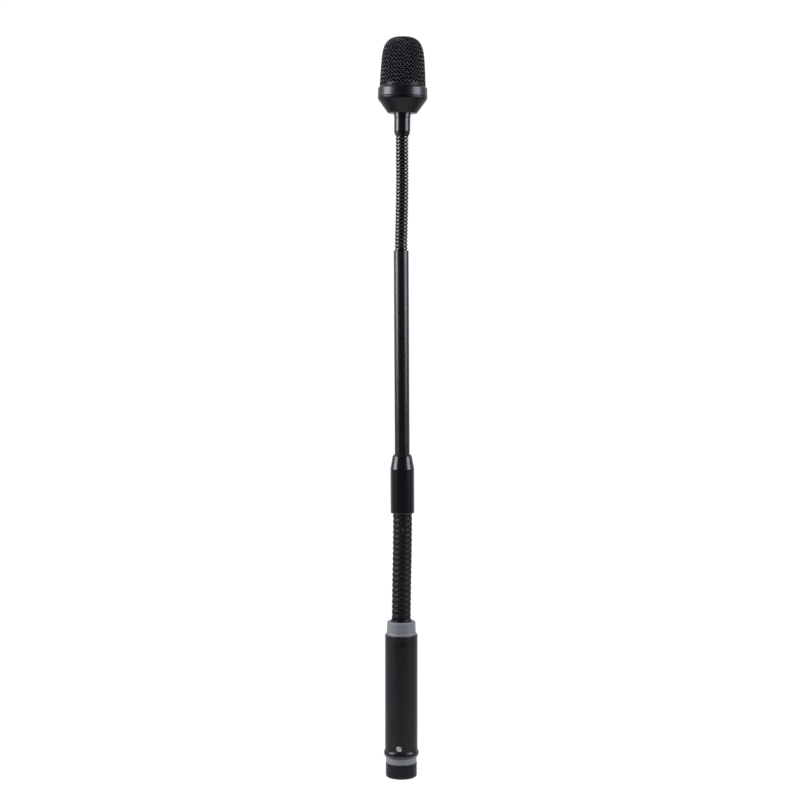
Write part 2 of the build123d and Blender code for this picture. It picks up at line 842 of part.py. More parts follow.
# Thin film on its stretching ring.
ring_bottom = front_bottom - 0.85
with BuildPart() as diaphragm:
    with BuildSketch(head.offset(ring_bottom)):
        Circle(cell_radius)
    extrude(amount=0.1)
    with BuildSketch(head.offset(ring_bottom + 0.1)):
        Circle(cell_radius)
        Circle(cell_radius - 0.9, mode=Mode.SUBTRACT)
    extrude(amount=0.7)
diaphragm.part.label = "diaphragm"
export_step(diaphragm.part, "parts/diaphragm.step")

# Spacer ring that keeps the film off the back plate.
with BuildPart() as diaphragm_spacer:
    with BuildSketch(head.offset(ring_bottom - 0.2)):
        Circle(cell_radius)
        Circle(cell_radius - 0.9, mode=Mode.SUBTRACT)
    extrude(amount=0.18)
diaphragm_spacer.part.label = "diaphragm_spacer"
export_step(diaphragm_spacer.part, "parts/diaphragm_spacer.step")

# Charged back plate with a ring of holes.
plate_top = ring_bottom - 0.25
plate_thickness = 1.4
with BuildPart() as backplate:
    with BuildSketch(head.offset(plate_top - plate_thickness)):
        Circle(cell_radius - 0.5)
        with PolarLocations(4.2, 8):
            Circle(0.5, mode=Mode.SUBTRACT)
    extrude(amount=plate_thickness)
backplate.part.label = "backplate"
export_step(backplate.part, "parts/backplate.step")

# Plastic cup that insulates the back plate from the can.
holder_bottom = 416.7
with BuildPart() as cell_holder:
    with BuildSketch(head.offset(holder_bottom)):
        Circle(cell_radius)
        Circle(1.5, mode=Mode.SUBTRACT)
    extrude(amount=1.2)
    with BuildSketch(head.offset(holder_bottom + 1.2)):
        Circle(cell_radius)
        Circle(cell_radius - 0.45, mode=Mode.SUBTRACT)
    extrude(amount=plate_top - holder_bottom - 1.2)
cell_holder.part.label = "cell_holder"
export_step(cell_holder.part, "parts/cell_holder.step")

# Small round board behind the cell.
cell_board_bottom = 414.3
cell_board_top = 415.1
with BuildPart() as fet_board:
    with BuildSketch(head.offset(cell_board_bottom)):
        Circle(cell_radius)
    extrude(amount=cell_board_top - cell_board_bottom)
fet_board.part.label = "fet_board"
export_step(fet_board.part, "parts/fet_board.step")

# Transistor on that board.
with BuildPart() as fet_chip:
    with BuildSketch(head.offset(cell_board_top)):
        with Locations((3.4, 0)):
            Rectangle(2.4, 3.0)
    extrude(amount=1.1)
fet_chip.part.label = "fet_chip"
export_step(fet_chip.part, "parts/fet_chip.step")

# Pin that carries the signal from the back plate to the board.
with BuildPart() as backplate_contact:
    with BuildSketch(head.offset(cell_board_top)):
        Circle(0.4)
    extrude(amount=plate_top - plate_thickness - cell_board_top)
backplate_contact.part.label = "backplate_contact"
export_step(backplate_contact.part, "parts/backplate_contact.step")

# Felt disc that slows the air at the rear of the capsule.
with BuildPart() as rear_felt:
    with BuildSketch(head.offset(capsule_bottom + 0.3)):
        Circle(cell_radius)
        Circle(2.0, mode=Mode.SUBTRACT)
    extrude(amount=1.6)
rear_felt.part.label = "rear_felt"
export_step(rear_felt.part, "parts/rear_felt.step")

# Two wires from the top of the lead to the capsule's board.
with BuildPart() as capsule_wires:
    with BuildSketch(head.offset(lead_top)):
        with Locations((-0.8, 0), (0.8, 0)):
            Circle(0.35)
    extrude(amount=cell_board_bottom - lead_top)
capsule_wires.part.label = "capsule_wires"
export_step(capsule_wires.part, "parts/capsule_wires.step")
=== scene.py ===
import json
import math

import bpy
import numpy as np
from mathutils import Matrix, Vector, noise

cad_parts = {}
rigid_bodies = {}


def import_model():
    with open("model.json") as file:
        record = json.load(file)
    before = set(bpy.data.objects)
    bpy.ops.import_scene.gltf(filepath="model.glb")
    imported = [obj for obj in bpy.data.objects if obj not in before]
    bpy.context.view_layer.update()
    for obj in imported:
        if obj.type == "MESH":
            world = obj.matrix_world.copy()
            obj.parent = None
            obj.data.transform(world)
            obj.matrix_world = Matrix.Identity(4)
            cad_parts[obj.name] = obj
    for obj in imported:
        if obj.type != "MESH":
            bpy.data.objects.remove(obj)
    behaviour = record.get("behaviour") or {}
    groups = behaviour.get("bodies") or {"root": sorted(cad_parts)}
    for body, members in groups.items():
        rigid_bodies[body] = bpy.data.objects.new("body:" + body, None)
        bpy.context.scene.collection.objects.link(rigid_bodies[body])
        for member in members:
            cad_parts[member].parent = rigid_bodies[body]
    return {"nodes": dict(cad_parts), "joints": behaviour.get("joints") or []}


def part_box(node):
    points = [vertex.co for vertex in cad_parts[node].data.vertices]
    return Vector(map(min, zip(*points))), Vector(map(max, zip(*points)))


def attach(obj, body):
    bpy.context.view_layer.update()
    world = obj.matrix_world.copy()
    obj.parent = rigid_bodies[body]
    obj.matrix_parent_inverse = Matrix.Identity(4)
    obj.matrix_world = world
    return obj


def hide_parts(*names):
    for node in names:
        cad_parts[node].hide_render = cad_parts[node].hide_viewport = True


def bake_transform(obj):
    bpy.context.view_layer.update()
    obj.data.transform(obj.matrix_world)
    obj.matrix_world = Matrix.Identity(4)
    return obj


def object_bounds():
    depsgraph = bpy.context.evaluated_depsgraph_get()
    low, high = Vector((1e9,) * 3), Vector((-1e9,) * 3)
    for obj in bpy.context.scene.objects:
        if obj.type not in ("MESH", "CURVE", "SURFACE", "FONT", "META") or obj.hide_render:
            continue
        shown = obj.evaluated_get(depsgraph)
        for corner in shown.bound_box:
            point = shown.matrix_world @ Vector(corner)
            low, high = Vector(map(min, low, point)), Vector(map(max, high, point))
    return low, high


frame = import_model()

# Gooseneck podium microphone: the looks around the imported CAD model, metres, +Z up, front towards -Y.

mm = 0.001
cad_low, cad_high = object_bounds()
scene = bpy.context.scene

# ---------------------------------------------------------------- camera
# The camera and its aim rise from the middle of the CAD box. The lens is in millimetres.
camera_distance = 1.08
camera_rise = 0.0800
aim_rise = 0.0069
aim_side = -0.0008
camera_lens = 80.8
camera_near = 0.05
camera_far = 20.0


def make_camera():
    """A long lens a little above the middle of the microphone, looking slightly down at it."""
    middle = (cad_low.z + cad_high.z) / 2
    data = bpy.data.cameras.new("camera")
    data.lens = camera_lens
    data.clip_start = camera_near
    data.clip_end = camera_far
    camera = bpy.data.objects.new("camera", data)
    camera.location = (aim_side, -camera_distance, middle + camera_rise)
    aim = Vector((aim_side, 0.0, middle + aim_rise))
    camera.rotation_euler = (aim - camera.location).to_track_quat("-Z", "Y").to_euler()
    scene.collection.objects.link(camera)
    scene.camera = camera


make_camera()

# ---------------------------------------------------------------- axes of the bodies
up = np.array((0.0, 0.0, 1.0))
depth_axis = np.array((0.0, 1.0, 0.0))


def joint_points(prefix):
    """The joints of one neck, from the lowest up."""
    return np.array([j["pos_m"] for j in frame["joints"] if j["name"].startswith(prefix)], float)


def joint_bodies(prefix):
    """The two bodies at each joint of one neck, from the lowest up."""
    return [(j["parent"], j["child"]) for j in frame["joints"] if j["name"].startswith(prefix)]


def unit(vector):
    """A vector of length one in the same direction."""
    return vector / np.linalg.norm(vector)


def node_points(node):
    """The vertices of a CAD node, as rows."""
    mesh = frame["nodes"][node].data
    points = np.zeros(len(mesh.vertices) * 3, np.float32)
    mesh.vertices.foreach_get("co", points)
    return points.reshape(-1, 3).astype(float)


def node_span(node, origin, axis):
    """Where a node starts and ends along an axis through an origin, and its radius about that axis."""
    points = node_points(node) - origin
    along = points @ axis
    out = np.linalg.norm(points - np.outer(along, axis), axis=1)
    return along.min(), along.max(), out.max()


lower_joints = joint_points("lower_neck")
upper_joints = joint_points("upper_neck")
stem_axis = unit(upper_joints[0] - lower_joints[-1])
head_origin = upper_joints[-1]
head_axis = unit(np.array(sum(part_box("diaphragm"), Vector()) / 2) - head_origin)
head_side = unit(np.cross(depth_axis, head_axis))
head_depth = np.cross(head_axis, head_side)

# ---------------------------------------------------------------- mesh helpers


def add_mesh(name, points, faces, material, smooth=True):
    """A new mesh object in the row frame, with its rest places kept for its material."""
    mesh = bpy.data.meshes.new(name)
    mesh.from_pydata([tuple(p) for p in points], [], faces)
    mesh.polygons.foreach_set("use_smooth", [smooth] * len(mesh.polygons))
    rest = mesh.attributes.new("rest_place", "FLOAT_VECTOR", "POINT")
    rest.data.foreach_set("vector", np.asarray(points, np.float32).ravel())
    mesh.materials.append(material)
    mesh.validate()
    piece = bpy.data.objects.new(name, mesh)
    scene.collection.objects.link(piece)
    return piece


def tube_faces(rings, sides, first=0, caps=True):
    """The faces of a tube whose vertices are rings of that many points, one after another."""
    faces = []
    for ring in range(rings - 1):
        low = first + ring * sides
        for side in range(sides):
            turn = (side + 1) % sides
            faces.append((low + side, low + turn, low + sides + turn, low + sides + side))
    if caps:
        top = first + (rings - 1) * sides
        faces.append(tuple(first + side for side in reversed(range(sides))))
        faces.append(tuple(top + side for side in range(sides)))
    return faces


# ---------------------------------------------------------------- material helpers
materials = {}
noise_low = 0.3
noise_high = 0.7


class Finish:
    """One procedural material, kept in materials: a principled shader and the nodes that feed it."""

    def __init__(self, name, rest_place=False):
        self.material = bpy.data.materials.new(name)
        materials[name] = self.material
        self.material.use_nodes = True
        self.tree = self.material.node_tree
        self.shader = self.tree.nodes["Principled BSDF"]
        if rest_place:
            source = self.tree.nodes.new("ShaderNodeAttribute")
            source.attribute_name = "rest_place"
            self.place = source.outputs["Vector"]
        else:
            self.place = self.tree.nodes.new("ShaderNodeTexCoord").outputs["Object"]

    def link(self, value, node, socket):
        """A link from an output to a node's socket."""
        self.tree.links.new(value, node.inputs[socket])

    def set(self, **values):
        """Constant values, set on the shader's own sockets."""
        for name, value in values.items():
            self.shader.inputs[name.replace("_", " ")].default_value = value

    def stretched(self, scale):
        """The place, scaled along each axis, so that a pattern runs along the part or around it."""
        node = self.tree.nodes.new("ShaderNodeMapping")
        node.inputs["Scale"].default_value = scale
        self.link(self.place, node, "Vector")
        return node.outputs["Vector"]

    def noise(self, scale, detail=3.0, rough=0.55, place=None):
        """Cloudy noise, most of it between noise_low and noise_high."""
        node = self.tree.nodes.new("ShaderNodeTexNoise")
        node.inputs["Scale"].default_value = scale
        node.inputs["Detail"].default_value = detail
        node.inputs["Roughness"].default_value = rough
        self.link(place or self.place, node, "Vector")
        return node.outputs["Fac"]

    def cells(self, scale, feature="F1"):
        """Distance inside a pattern of cells."""
        node = self.tree.nodes.new("ShaderNodeTexVoronoi")
        node.feature = feature
        node.inputs["Scale"].default_value = scale
        self.link(self.place, node, "Vector")
        return node.outputs["Distance"]

    def spread(self, value, low, high, start=noise_low, end=noise_high):
        """A value from one range put onto another."""
        node = self.tree.nodes.new("ShaderNodeMapRange")
        node.inputs["From Min"].default_value = start
        node.inputs["From Max"].default_value = end
        node.inputs["To Min"].default_value = low
        node.inputs["To Max"].default_value = high
        self.link(value, node, "Value")
        return node.outputs["Result"]

    def colours(self, value, low, high):
        """A colour between two, by a value."""
        node = self.tree.nodes.new("ShaderNodeMix")
        node.data_type = "RGBA"
        ends = [socket for socket in node.inputs if socket.type == "RGBA"]
        for socket, colour in zip(ends, (low, high)):
            socket.default_value = (*colour, 1.0)
        self.link(value, node, "Factor")
        return [socket for socket in node.outputs if socket.type == "RGBA"][0]

    def bump(self, height, strength, distance):
        """A bump on top of those already there."""
        node = self.tree.nodes.new("ShaderNodeBump")
        node.inputs["Strength"].default_value = strength
        node.inputs["Distance"].default_value = distance
        self.link(height, node, "Height")
        if self.shader.inputs["Normal"].is_linked:
            self.link(self.shader.inputs["Normal"].links[0].from_socket, node, "Normal")
        self.link(node.outputs["Normal"], self.shader, "Normal")

    def colour(self, value, low, high):
        """The base colour, between two, by a value."""
        self.link(self.colours(value, low, high), self.shader, "Base Color")

    def roughness(self, value, low, high):
        """The roughness, between two, by a noise."""
        self.link(self.spread(value, low, high), self.shader, "Roughness")


def grey(level, warm=0.0):
    """A near neutral colour, a little warm or, below zero, a little blue."""
    return (level * (1.0 + warm), level, level * (1.0 - warm))


def black(level):
    """Black with a trace of blue."""
    return grey(level, -0.2)


def turned_metal(name, dark, light, rough, lines=0.25, grain=0.25, gloss=0.5):
    """Black finished metal: fine marks around the part from turning, under a satin or glossy finish."""
    finish = Finish(name)
    marks = finish.noise(5200.0, detail=4.0, rough=0.6, place=finish.stretched((0.04, 0.04, 1.0)))
    finish.colour(finish.noise(160.0, detail=4.0), dark, light)
    finish.roughness(finish.noise(180.0, detail=2.0), *rough)
    finish.bump(marks, lines, 0.0006 * mm)
    finish.bump(finish.noise(9000.0, detail=2.0), grain, 0.0003 * mm)
    finish.set(Specular_IOR_Level=gloss)


def rubber(name, dark, light, rough, grain_scale, grain, rest_place=False, gloss=0.5):
    """Moulded rubber: a soft sheen, fine grain and slight blooming."""
    finish = Finish(name, rest_place)
    cloud = finish.noise(220.0, detail=5.0, rough=0.6)
    finish.colour(cloud, dark, light)
    finish.roughness(finish.noise(900.0, detail=4.0), *rough)
    finish.bump(finish.noise(grain_scale, detail=4.0), grain, 0.008 * mm)
    finish.set(Sheen_Weight=0.06, Sheen_Roughness=0.5, Specular_IOR_Level=gloss)


def plastic(name, dark, light, rough):
    """Moulded plastic with a fine matt texture."""
    finish = Finish(name)
    finish.colour(finish.noise(300.0), dark, light)
    finish.roughness(finish.noise(1200.0), *rough)
    finish.bump(finish.noise(3000.0), 0.2, 0.008 * mm)


def bright_metal(name, dark, light, rough, lines=0.3):
    """Bare or plated metal with turning marks and a slightly uneven tarnish."""
    finish = Finish(name)
    finish.colour(finish.noise(700.0, detail=5.0, rough=0.65), dark, light)
    finish.roughness(finish.noise(1500.0, detail=4.0), *rough)
    marks = finish.noise(8000.0, rough=0.6, place=finish.stretched((0.05, 0.05, 1.0)))
    finish.bump(marks, lines, 0.003 * mm)
    finish.set(Metallic=1.0)


def wound_wire(name, dark, light, rough, grain, gloss):
    """Black finished spring wire: slightly uneven in tone, with fine marks around the neck or head."""
    finish = Finish(name, rest_place=True)
    finish.colour(finish.noise(500.0, detail=5.0, rough=0.6), dark, light)
    finish.roughness(finish.noise(400.0, detail=2.0), *rough)
    marks = finish.noise(6000.0, rough=0.6, place=finish.stretched((0.15, 0.15, 1.0)))
    finish.bump(marks, grain, 0.0008 * mm)
    finish.set(Specular_IOR_Level=gloss)


def foam(name):
    """Open-cell foam: painted shade in the pores, darker than the paler struts, a pitted bump, and no
    gloss.
    """
    finish = Finish(name, rest_place=True)
    pore_shade_and_pits = finish.cells(2600.0)
    # The colour is darkest at the middle of each cell: painted shade inside the pores, not a different
    # material.
    finish.colour(finish.spread(pore_shade_and_pits, 0.0, 1.0, 0.05, 0.6), grey(0.001), grey(0.004, 0.03))
    finish.roughness(finish.noise(2000.0, detail=2.0), 0.85, 1.0)
    finish.bump(pore_shade_and_pits, 0.9, 0.2 * mm)
    finish.set(Specular_IOR_Level=0.15)


def felt(name):
    """Pressed felt: tangled fibres."""
    finish = Finish(name)
    fibres = finish.noise(4200.0, detail=6.0, rough=0.7, place=finish.stretched((1.0, 0.3, 1.0)))
    finish.colour(fibres, grey(0.05), grey(0.14))
    finish.roughness(finish.noise(3000.0, detail=2.0), 0.9, 1.0)
    finish.bump(fibres, 0.8, 0.1 * mm)
    finish.set(Sheen_Weight=0.4, Sheen_Roughness=0.5)


def circuit_board(name):
    """Green solder mask over a pattern of tracks."""
    finish = Finish(name)
    tracks = finish.cells(420.0, "DISTANCE_TO_EDGE")
    finish.colour(finish.spread(tracks, 0.0, 1.0, 0.04, 0.06), (0.012, 0.09, 0.035), (0.006, 0.045, 0.018))
    finish.roughness(finish.noise(900.0), 0.25, 0.4)
    finish.bump(finish.spread(tracks, 1.0, 0.0, 0.04, 0.08), 0.4, 0.03 * mm)


# Each slot's material: its darkest and lightest colour, then its lowest and highest roughness.
turned_metal("connector_metal", black(0.004), black(0.006), (0.38, 0.42), gloss=0.28)
plastic("insert_plastic", black(0.012), black(0.018), (0.4, 0.55))
bright_metal("contact_metal", (0.75, 0.7, 0.6), (0.85, 0.82, 0.76), (0.16, 0.28))
bright_metal("bright_steel", grey(0.82), grey(0.92), (0.3, 0.38))
rubber("grey_rubber", grey(0.15, -0.05), grey(0.17, -0.05), (0.5, 0.62), 3600.0, 0.35)
rubber("gloss_rubber", black(0.005), black(0.008), (0.26, 0.32), 2600.0, 0.12, gloss=0.3)
rubber("black_rubber", black(0.014), black(0.022), (0.5, 0.7), 3600.0, 0.3)
turned_metal("barrel_metal", black(0.003), black(0.004), (0.4, 0.43), gloss=0.46)
plastic("carrier_plastic", grey(0.02), grey(0.03), (0.45, 0.6))
circuit_board("circuit_board")
plastic("capacitor_sleeve", (0.01, 0.012, 0.03), (0.014, 0.018, 0.045), (0.25, 0.4))
plastic("chip_plastic", grey(0.015), grey(0.022), (0.5, 0.65))
plastic("wire_insulation", (0.25, 0.02, 0.015), (0.34, 0.035, 0.025), (0.35, 0.5))
rubber("lead_sheath", grey(0.018), grey(0.028), (0.45, 0.6), 3000.0, 0.25, rest_place=True)
bright_metal("brass", (0.62, 0.43, 0.17), (0.74, 0.55, 0.25), (0.2, 0.34))
turned_metal("turned_black_metal", black(0.006), black(0.007), (0.21, 0.23), 0.1, 0.08, gloss=0.47)
turned_metal("stem_metal", black(0.006), black(0.007), (0.26, 0.29), 0.08, 0.06)
wound_wire("lower_neck_wire", black(0.003), black(0.005), (0.42, 0.46), 0.3, gloss=0.24)
wound_wire("upper_neck_wire", black(0.003), black(0.005), (0.19, 0.23), 0.2, gloss=0.7)
turned_metal("head_metal", black(0.003), black(0.005), (0.36, 0.4), gloss=0.22)
turned_metal("rim_metal", black(0.003), black(0.004), (0.32, 0.35), gloss=0.52)
wound_wire("grille_wire", grey(0.02, -0.08), grey(0.026, -0.08), (0.22, 0.26), 0.2, gloss=0.42)
foam("dark_foam")
bright_metal("capsule_metal", grey(0.45), grey(0.6), (0.28, 0.42))
bright_metal("film", (0.72, 0.62, 0.4), (0.82, 0.74, 0.52), (0.12, 0.22), lines=0.1)
felt("felt")


def dress_cad_nodes():
    """Every CAD node gets the finish of its own material slot."""
    for node in frame["nodes"].values():
        slot_name = node.data.materials[0].name.split(".")[0]
        node.data.materials.clear()
        node.data.materials.append(materials[slot_name])


# ---------------------------------------------------------------- necks
just_inside = 1e-9


class Neck:
    """The smooth centre line of one flexible neck, and the bodies that each stretch of it bends between."""

    def __init__(self, name, axis_below, axis_above):
        self.name = name
        self.joints = joint_points(name)
        self.bodies = joint_bodies(name)
        self.count = len(self.joints)
        self.link = np.linalg.norm(self.joints[1] - self.joints[0])
        start = self.joints[0] - axis_below * self.link / 2
        end = self.joints[-1] + axis_above * self.link / 2
        self.middles = np.vstack((start, (self.joints[:-1] + self.joints[1:]) / 2, end))

    def centre(self, stations):
        """Points and directions on the centre line, at distances from the neck's lower end."""
        stations = np.asarray(stations, float)
        index = np.clip(np.floor(stations / self.link).astype(int), 0, self.count - 1)
        share = stations / self.link - index
        inside = np.clip(share, 0.0, 1.0)[..., None]
        first, corner, last = self.middles[index], self.joints[index], self.middles[index + 1]
        points = first * (1 - inside) ** 2 + 2 * corner * inside * (1 - inside) + last * inside**2
        tangents = (corner - first) * (1 - inside) + (last - corner) * inside
        tangents /= np.linalg.norm(tangents, axis=-1, keepdims=True)
        return points + tangents * (share[..., None] - inside) * self.link, tangents

    def around(self, stations, angles, radii):
        """Points at those distances along the centre line, angles around it and radii from it."""
        points, tangents = self.centre(stations)
        side = np.cross(depth_axis, tangents)
        side /= np.linalg.norm(side, axis=-1, keepdims=True)
        turn = np.cos(angles)[..., None] * side + np.sin(angles)[..., None] * depth_axis
        return points + np.asarray(radii)[..., None] * turn

    def bend(self, piece, index, easing):
        """Bakes a piece's placement into its mesh, after finding where its stretch across one joint starts
        and ends.
        """
        start, direction = self.centre(index * self.link)
        end, end_direction = self.centre((index + 1) * self.link - just_inside)
        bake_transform(piece)


def stretch(neck, index, hidden):
    """Where one joint's stretch of neck starts and ends; the first and last go on, out of sight."""
    start = index * neck.link - (hidden if index == 0 else 0.0)
    end = (index + 1) * neck.link + (hidden if index == neck.count - 1 else 0.0)
    return start, end


def winding(neck, index, outline, pitch, steps, phase, hidden):
    """Vertices and faces of the wire of one stretch, wound right-handed around the centre line.

    Its section is taken backwards, so that the faces look outward.
    """
    start, end = stretch(neck, index, hidden)
    count = max(2, int(round((end - start) / pitch * steps)) + 1)
    stations = np.linspace(start, end, count)[:, None]
    angles = 2 * math.pi * stations / pitch + phase
    radii, offsets = np.array(outline[::-1]).T
    grid = stations + offsets[None, :]
    points = neck.around(grid, np.broadcast_to(angles, grid.shape), np.broadcast_to(radii, grid.shape))
    return points.reshape(-1, 3), tube_faces(count, len(outline))


def sleeve(neck, start, end, outer, inner, rings, sides):
    """Vertices and faces of a hollow tube along the centre line, from one distance to another."""
    stations = np.linspace(start, end, rings)
    angles = np.linspace(0, 2 * math.pi, sides, endpoint=False)
    outside = [(s, outer) for s in stations]
    inside = [(s, inner) for s in stations[::-1]]
    loop = np.array(outside + inside)
    grid_angles, grid_stations = np.meshgrid(angles, loop[:, 0])
    points = neck.around(grid_stations, grid_angles, np.broadcast_to(loop[:, 1:], grid_angles.shape))
    faces = []
    for ring in range(len(loop)):
        low = ring * sides
        high = (ring + 1) % len(loop) * sides
        for side in range(sides):
            turn = (side + 1) % sides
            faces.append((low + side, low + turn, high + turn, high + side))
    return points.reshape(-1, 3), faces


crown_share = 0.9
inner_share = 0.94
crown_points = 7


def flat_wire_outline(half_width, crest, edge, root, inner):
    """The section of the broad wire: crowned outside, flat inside; radius and offset pairs."""
    crown = np.linspace(-1.0, 1.0, crown_points)
    outline = [(crest - (crest - edge) * c**2, c * crown_share * half_width) for c in crown]
    outline += [(root, half_width), (inner, half_width * inner_share)]
    outline += [(inner, -half_width * inner_share), (root, -half_width)]
    return outline


def round_outline(centre, half_depth, half_width, sides):
    """The section of a rounded wire; radius and offset pairs."""
    turns = np.linspace(0, 2 * math.pi, sides, endpoint=False)
    return [(centre + half_depth * math.cos(a), half_width * math.sin(a)) for a in turns]


sleeve_rings = 13
core_sides = 32
lead_sides = 16
lead_radius = 1.5 * mm
lead_bore = 1.2 * mm
rigid_lead_rings = 9
lower_neck = Neck("lower_neck", up, stem_axis)
upper_neck = Neck("upper_neck", stem_axis, head_axis)
lower_radius = node_span("lower_neck_link_1", lower_joints[0], unit(lower_joints[1] - lower_joints[0]))[2]
upper_radius = node_span("upper_neck_link_1", upper_joints[0], unit(upper_joints[1] - upper_joints[0]))[2]
# Radii from the centre line, half widths along it; easing and hidden lengths at the ends of each stretch.
necks = (
    {
        "neck": lower_neck,
        "turns": 20,
        "wire": flat_wire_outline(1.45 * mm, lower_radius, lower_radius - 0.16 * mm, 5.4 * mm, 4.6 * mm),
        "filler": round_outline(5.1 * mm, 0.24 * mm, 0.3 * mm, 8),
        "core": (4.75 * mm, 3.0 * mm),
        "steps": 48,
        "easing": 0.65 * mm,
        "hidden": 3.0 * mm,
        "phase": 0.6,
    },
    {
        "neck": upper_neck,
        "turns": 32,
        "wire": round_outline(upper_radius - 0.6 * mm, 0.6 * mm, 1.0 * mm, 14),
        "filler": round_outline(2.85 * mm, 0.25 * mm, 0.25 * mm, 8),
        "core": (2.55 * mm, 2.1 * mm),
        "steps": 36,
        "easing": 0.5 * mm,
        "hidden": 2.2 * mm,
        "phase": 2.2,
    },
)


def neck_nodes(neck, index):
    """The CAD nodes that the stretch across one joint stands for."""
    nodes = [f"{neck.name}_foot" if index == 0 else f"{neck.name}_link_{index}"]
    if index == neck.count - 1:
        nodes.append(f"{neck.name}_top")
    return nodes


def make_neck(spec):
    """A flexible neck: the wound wire, the filler wire in its groove, the core and the lead inside."""
    neck = spec["neck"]
    pitch = neck.link * neck.count / spec["turns"]
    wire_finish = materials[f"{neck.name}_wire"]
    for index in range(neck.count):
        parts = {
            "wire": winding(neck, index, spec["wire"], pitch, spec["steps"], spec["phase"], spec["hidden"]),
            "filler": winding(
                neck, index, spec["filler"], pitch, spec["steps"], spec["phase"] + math.pi, spec["hidden"]
            ),
            "core": sleeve(
                neck, *stretch(neck, index, spec["hidden"]), *spec["core"], sleeve_rings, core_sides
            ),
        }
        for part, (points, faces) in parts.items():
            piece = add_mesh(f"{neck.name}_{part}_{index + 1}", points, faces, wire_finish)
            neck.bend(piece, index, spec["easing"])
            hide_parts(*neck_nodes(neck, index))
        start, end = stretch(neck, index, 0.0)
        points, faces = sleeve(neck, start, end, lead_radius, lead_bore, sleeve_rings, lead_sides)
        lead = add_mesh(f"signal_lead_{neck.name}_{index + 1}", points, faces, materials["lead_sheath"])
        neck.bend(lead, index, spec["easing"])
        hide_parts("signal_lead")


def make_rigid_leads():
    """The stretches of the signal lead that do not bend: in the barrel, in the stem and in the head."""
    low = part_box("signal_lead")[0].z - lower_neck.middles[0][2]
    lead_low, lead_high, _ = node_span("signal_lead", head_origin, head_axis)
    top = np.linalg.norm(upper_neck.middles[-1] - head_origin)
    lower_length = lower_neck.link * lower_neck.count
    upper_length = upper_neck.link * upper_neck.count
    stem_length = np.linalg.norm(upper_neck.middles[0] - lower_neck.middles[-1])
    runs = (
        ("signal_lead_barrel", "base", lower_neck, low, 0.0),
        ("signal_lead_stem", "stem", lower_neck, lower_length, lower_length + stem_length),
        ("signal_lead_head", "head", upper_neck, upper_length, upper_length + lead_high - top),
    )
    for name, body, neck, start, end in runs:
        points, faces = sleeve(neck, start, end, lead_radius, lead_bore, rigid_lead_rings, lead_sides)
        piece = add_mesh(name, points, faces, materials["lead_sheath"])
        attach(piece, body)
        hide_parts("signal_lead")


# ---------------------------------------------------------------- grille and foam
dome_skirt = 3.9 * mm
dome_skirt_draft = 0.1 * mm
dome_taper = 0.055
dome_rise_power = 2 / 6
dome_reach_power = 2 / 2.9
dome_samples = 400
skirt_samples = 40
slope_step = 0.05 * mm
dome_low, dome_high, dome_foot_radius = node_span("grille_mesh", head_origin, head_axis)
foam_low = node_span("foam_liner", head_origin, head_axis)[0]

wires_per_side = 9
wire_radius = 0.21 * mm
wire_sides = 5
samples_per_cell = 4
section_turn = 0.3
weave_inset = 2.1 * wire_radius
weave_lift = 1.04 * wire_radius
weave_azimuth = math.radians(26.0)
edge_tolerance = 1e-6


class Dome:
    """The domed surface of the head, inset by a distance: arc length from its top, and angle around."""

    def __init__(self, inset, low):
        t = np.linspace(math.pi / 2, 0.0, dome_samples)
        height = dome_high - dome_low - dome_skirt - inset
        rise = height * np.sin(t) ** dome_rise_power
        widest = dome_foot_radius - dome_skirt_draft - inset
        reach = (widest - dome_taper * rise) * np.cos(t) ** dome_reach_power
        drop = np.linspace(0.0, dome_low + dome_skirt - low, skirt_samples)[1:]
        skirt_radius = reach[-1] + dome_skirt_draft * drop / dome_skirt
        self.radii = np.concatenate((reach, skirt_radius))
        self.heights = np.concatenate((dome_low + dome_skirt + rise, dome_low + dome_skirt - drop))
        steps = np.hypot(np.diff(self.radii), np.diff(self.heights))
        self.arcs = np.concatenate(((0.0,), np.cumsum(steps)))
        self.length = self.arcs[-1]

    def points(self, arcs, angles, lift=0.0):
        """Points in the row frame, and the normals there, lifted off the surface along them."""
        radii = np.interp(arcs, self.arcs, self.radii)
        heights = np.interp(arcs, self.arcs, self.heights)
        ahead = np.clip(arcs + slope_step, 0, self.length)
        behind = np.clip(arcs - slope_step, 0, self.length)
        out_slope = np.interp(ahead, self.arcs, self.radii) - np.interp(behind, self.arcs, self.radii)
        up_slope = np.interp(ahead, self.arcs, self.heights) - np.interp(behind, self.arcs, self.heights)
        size = np.hypot(out_slope, up_slope)
        normal_out, normal_up = -up_slope / size, out_slope / size
        turn = np.cos(angles)[..., None] * head_side + np.sin(angles)[..., None] * head_depth
        normals = normal_out[..., None] * turn + normal_up[..., None] * head_axis
        places = head_origin + radii[..., None] * turn + heights[..., None] * head_axis
        return places + normals * np.asarray(lift)[..., None], normals


def sheet_to_dome(dome, x, y, hoop, depth, half_side):
    """Arc and angle on the dome of places on the woven sheet.

    Over the top it is a square, x and y from -1 to 1. Below the square's edges it is the side of the dome,
    with hoop in half sides around it and depth in half sides down it.
    """
    flat_x = x * np.sqrt(1 - y * y / 2)
    flat_y = y * np.sqrt(1 - x * x / 2)
    panel = np.round(hoop / 2)
    local = np.clip(hoop - 2 * panel, -1, 1)
    even = np.clip(depth, 0, 1)
    local_angle = (1 - even) * np.arcsin(local / math.sqrt(2)) + even * local * math.pi / 4
    on_side = depth > 0
    arcs = np.where(on_side, half_side * (1 + depth), half_side * np.hypot(flat_x, flat_y))
    angles = np.where(on_side, panel * math.pi / 2 + local_angle, np.arctan2(flat_y, flat_x))
    return np.minimum(arcs, dome.length), angles


def edge_exit(x, y, step_x, step_y):
    """Where a straight wire leaves the top square: its place around the side, and which way it goes on."""
    edge = 1 - edge_tolerance
    if step_x > 0 and x > edge:
        return y, np.sign(step_y)
    if step_y > 0 and y > edge:
        return 2 - x, -np.sign(step_x)
    if step_x < 0 and x < -edge:
        return 4 - y, -np.sign(step_y)
    return 6 + x, np.sign(step_x)


